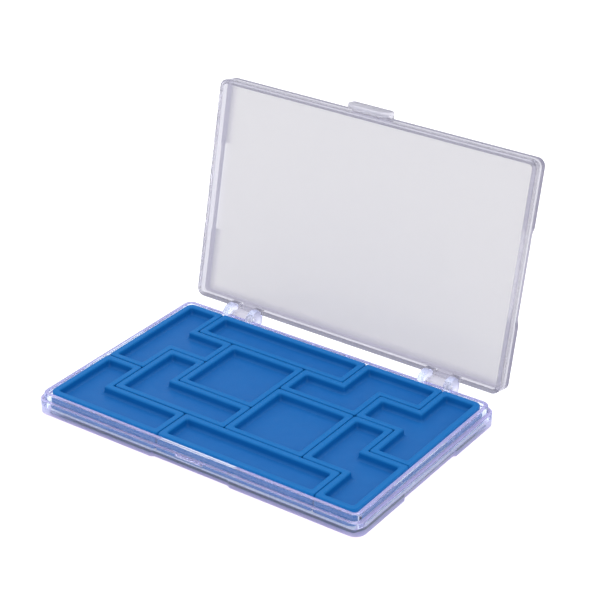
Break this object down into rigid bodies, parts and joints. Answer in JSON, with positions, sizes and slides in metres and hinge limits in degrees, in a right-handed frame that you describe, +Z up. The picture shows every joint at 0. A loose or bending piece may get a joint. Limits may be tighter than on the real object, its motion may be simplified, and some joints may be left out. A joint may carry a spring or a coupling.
{
  "type": "pocket carry case",
  "caption": "Clear hinged pocket case with a front latch, holding blue shallow trays shaped as four-cell blocks that nest together and lift out.",
  "frame": {"origin": "middle of the flat underside of the base", "axes": "+Z up out of the trays, +Y towards the hinge, +X to the right seen from the latch side; at rest the lid is open at its stop"},
  "size_m": [0.1014, 0.0861, 0.0719],
  "materials": {
    "clear_plastic": "clear, polished, faint violet tint at thick edges",
    "blue_plastic": "satin blue with softly rounded rims"
  },
  "bodies": {
    "base": {"base": "clear_plastic"},
    "lid": {"lid": "clear_plastic"},
    "tray_tee_left": {"tray_tee_left": "blue_plastic"},
    "tray_bar_back": {"tray_bar_back": "blue_plastic"},
    "tray_square_left": {"tray_square_left": "blue_plastic"},
    "tray_zigzag_back": {"tray_zigzag_back": "blue_plastic"},
    "tray_tee_right": {"tray_tee_right": "blue_plastic"},
    "tray_square_right": {"tray_square_right": "blue_plastic"},
    "tray_ell_middle": {"tray_ell_middle": "blue_plastic"},
    "tray_ell_front": {"tray_ell_front": "blue_plastic"},
    "tray_bar_front": {"tray_bar_front": "blue_plastic"},
    "tray_zigzag_right": {"tray_zigzag_right": "blue_plastic"}
  },
  "joints": [
    {"name": "lid_hinge", "type": "hinge", "parent": "base", "child": "lid", "pos_m": [0, 0.0334, 0.00474], "axis": [-1, 0, 0], "range_deg": [-102, 0]},
    {"name": "tee_left_lift", "type": "slide", "parent": "base", "child": "tray_tee_left", "axis": [0, 0, 1], "range_m": [0, 0.075]},
    {"name": "bar_back_lift", "type": "slide", "parent": "base", "child": "tray_bar_back", "axis": [0, 0, 1], "range_m": [0, 0.075]},
    {"name": "square_left_lift", "type": "slide", "parent": "base", "child": "tray_square_left", "axis": [0, 0, 1], "range_m": [0, 0.075]},
    {"name": "zigzag_back_lift", "type": "slide", "parent": "base", "child": "tray_zigzag_back", "axis": [0, 0, 1], "range_m": [0, 0.075]},
    {"name": "tee_right_lift", "type": "slide", "parent": "base", "child": "tray_tee_right", "axis": [0, 0, 1], "range_m": [0, 0.075]},
    {"name": "square_right_lift", "type": "slide", "parent": "base", "child": "tray_square_right", "axis": [0, 0, 1], "range_m": [0, 0.075]},
    {"name": "ell_middle_lift", "type": "slide", "parent": "base", "child": "tray_ell_middle", "axis": [0, 0, 1], "range_m": [0, 0.075]},
    {"name": "ell_front_lift", "type": "slide", "parent": "base", "child": "tray_ell_front", "axis": [0, 0, 1], "range_m": [0, 0.075]},
    {"name": "bar_front_lift", "type": "slide", "parent": "base", "child": "tray_bar_front", "axis": [0, 0, 1], "range_m": [0, 0.075]},
    {"name": "zigzag_right_lift", "type": "slide", "parent": "base", "child": "tray_zigzag_right", "axis": [0, 0, 1], "range_m": [0, 0.075]}
  ]
}
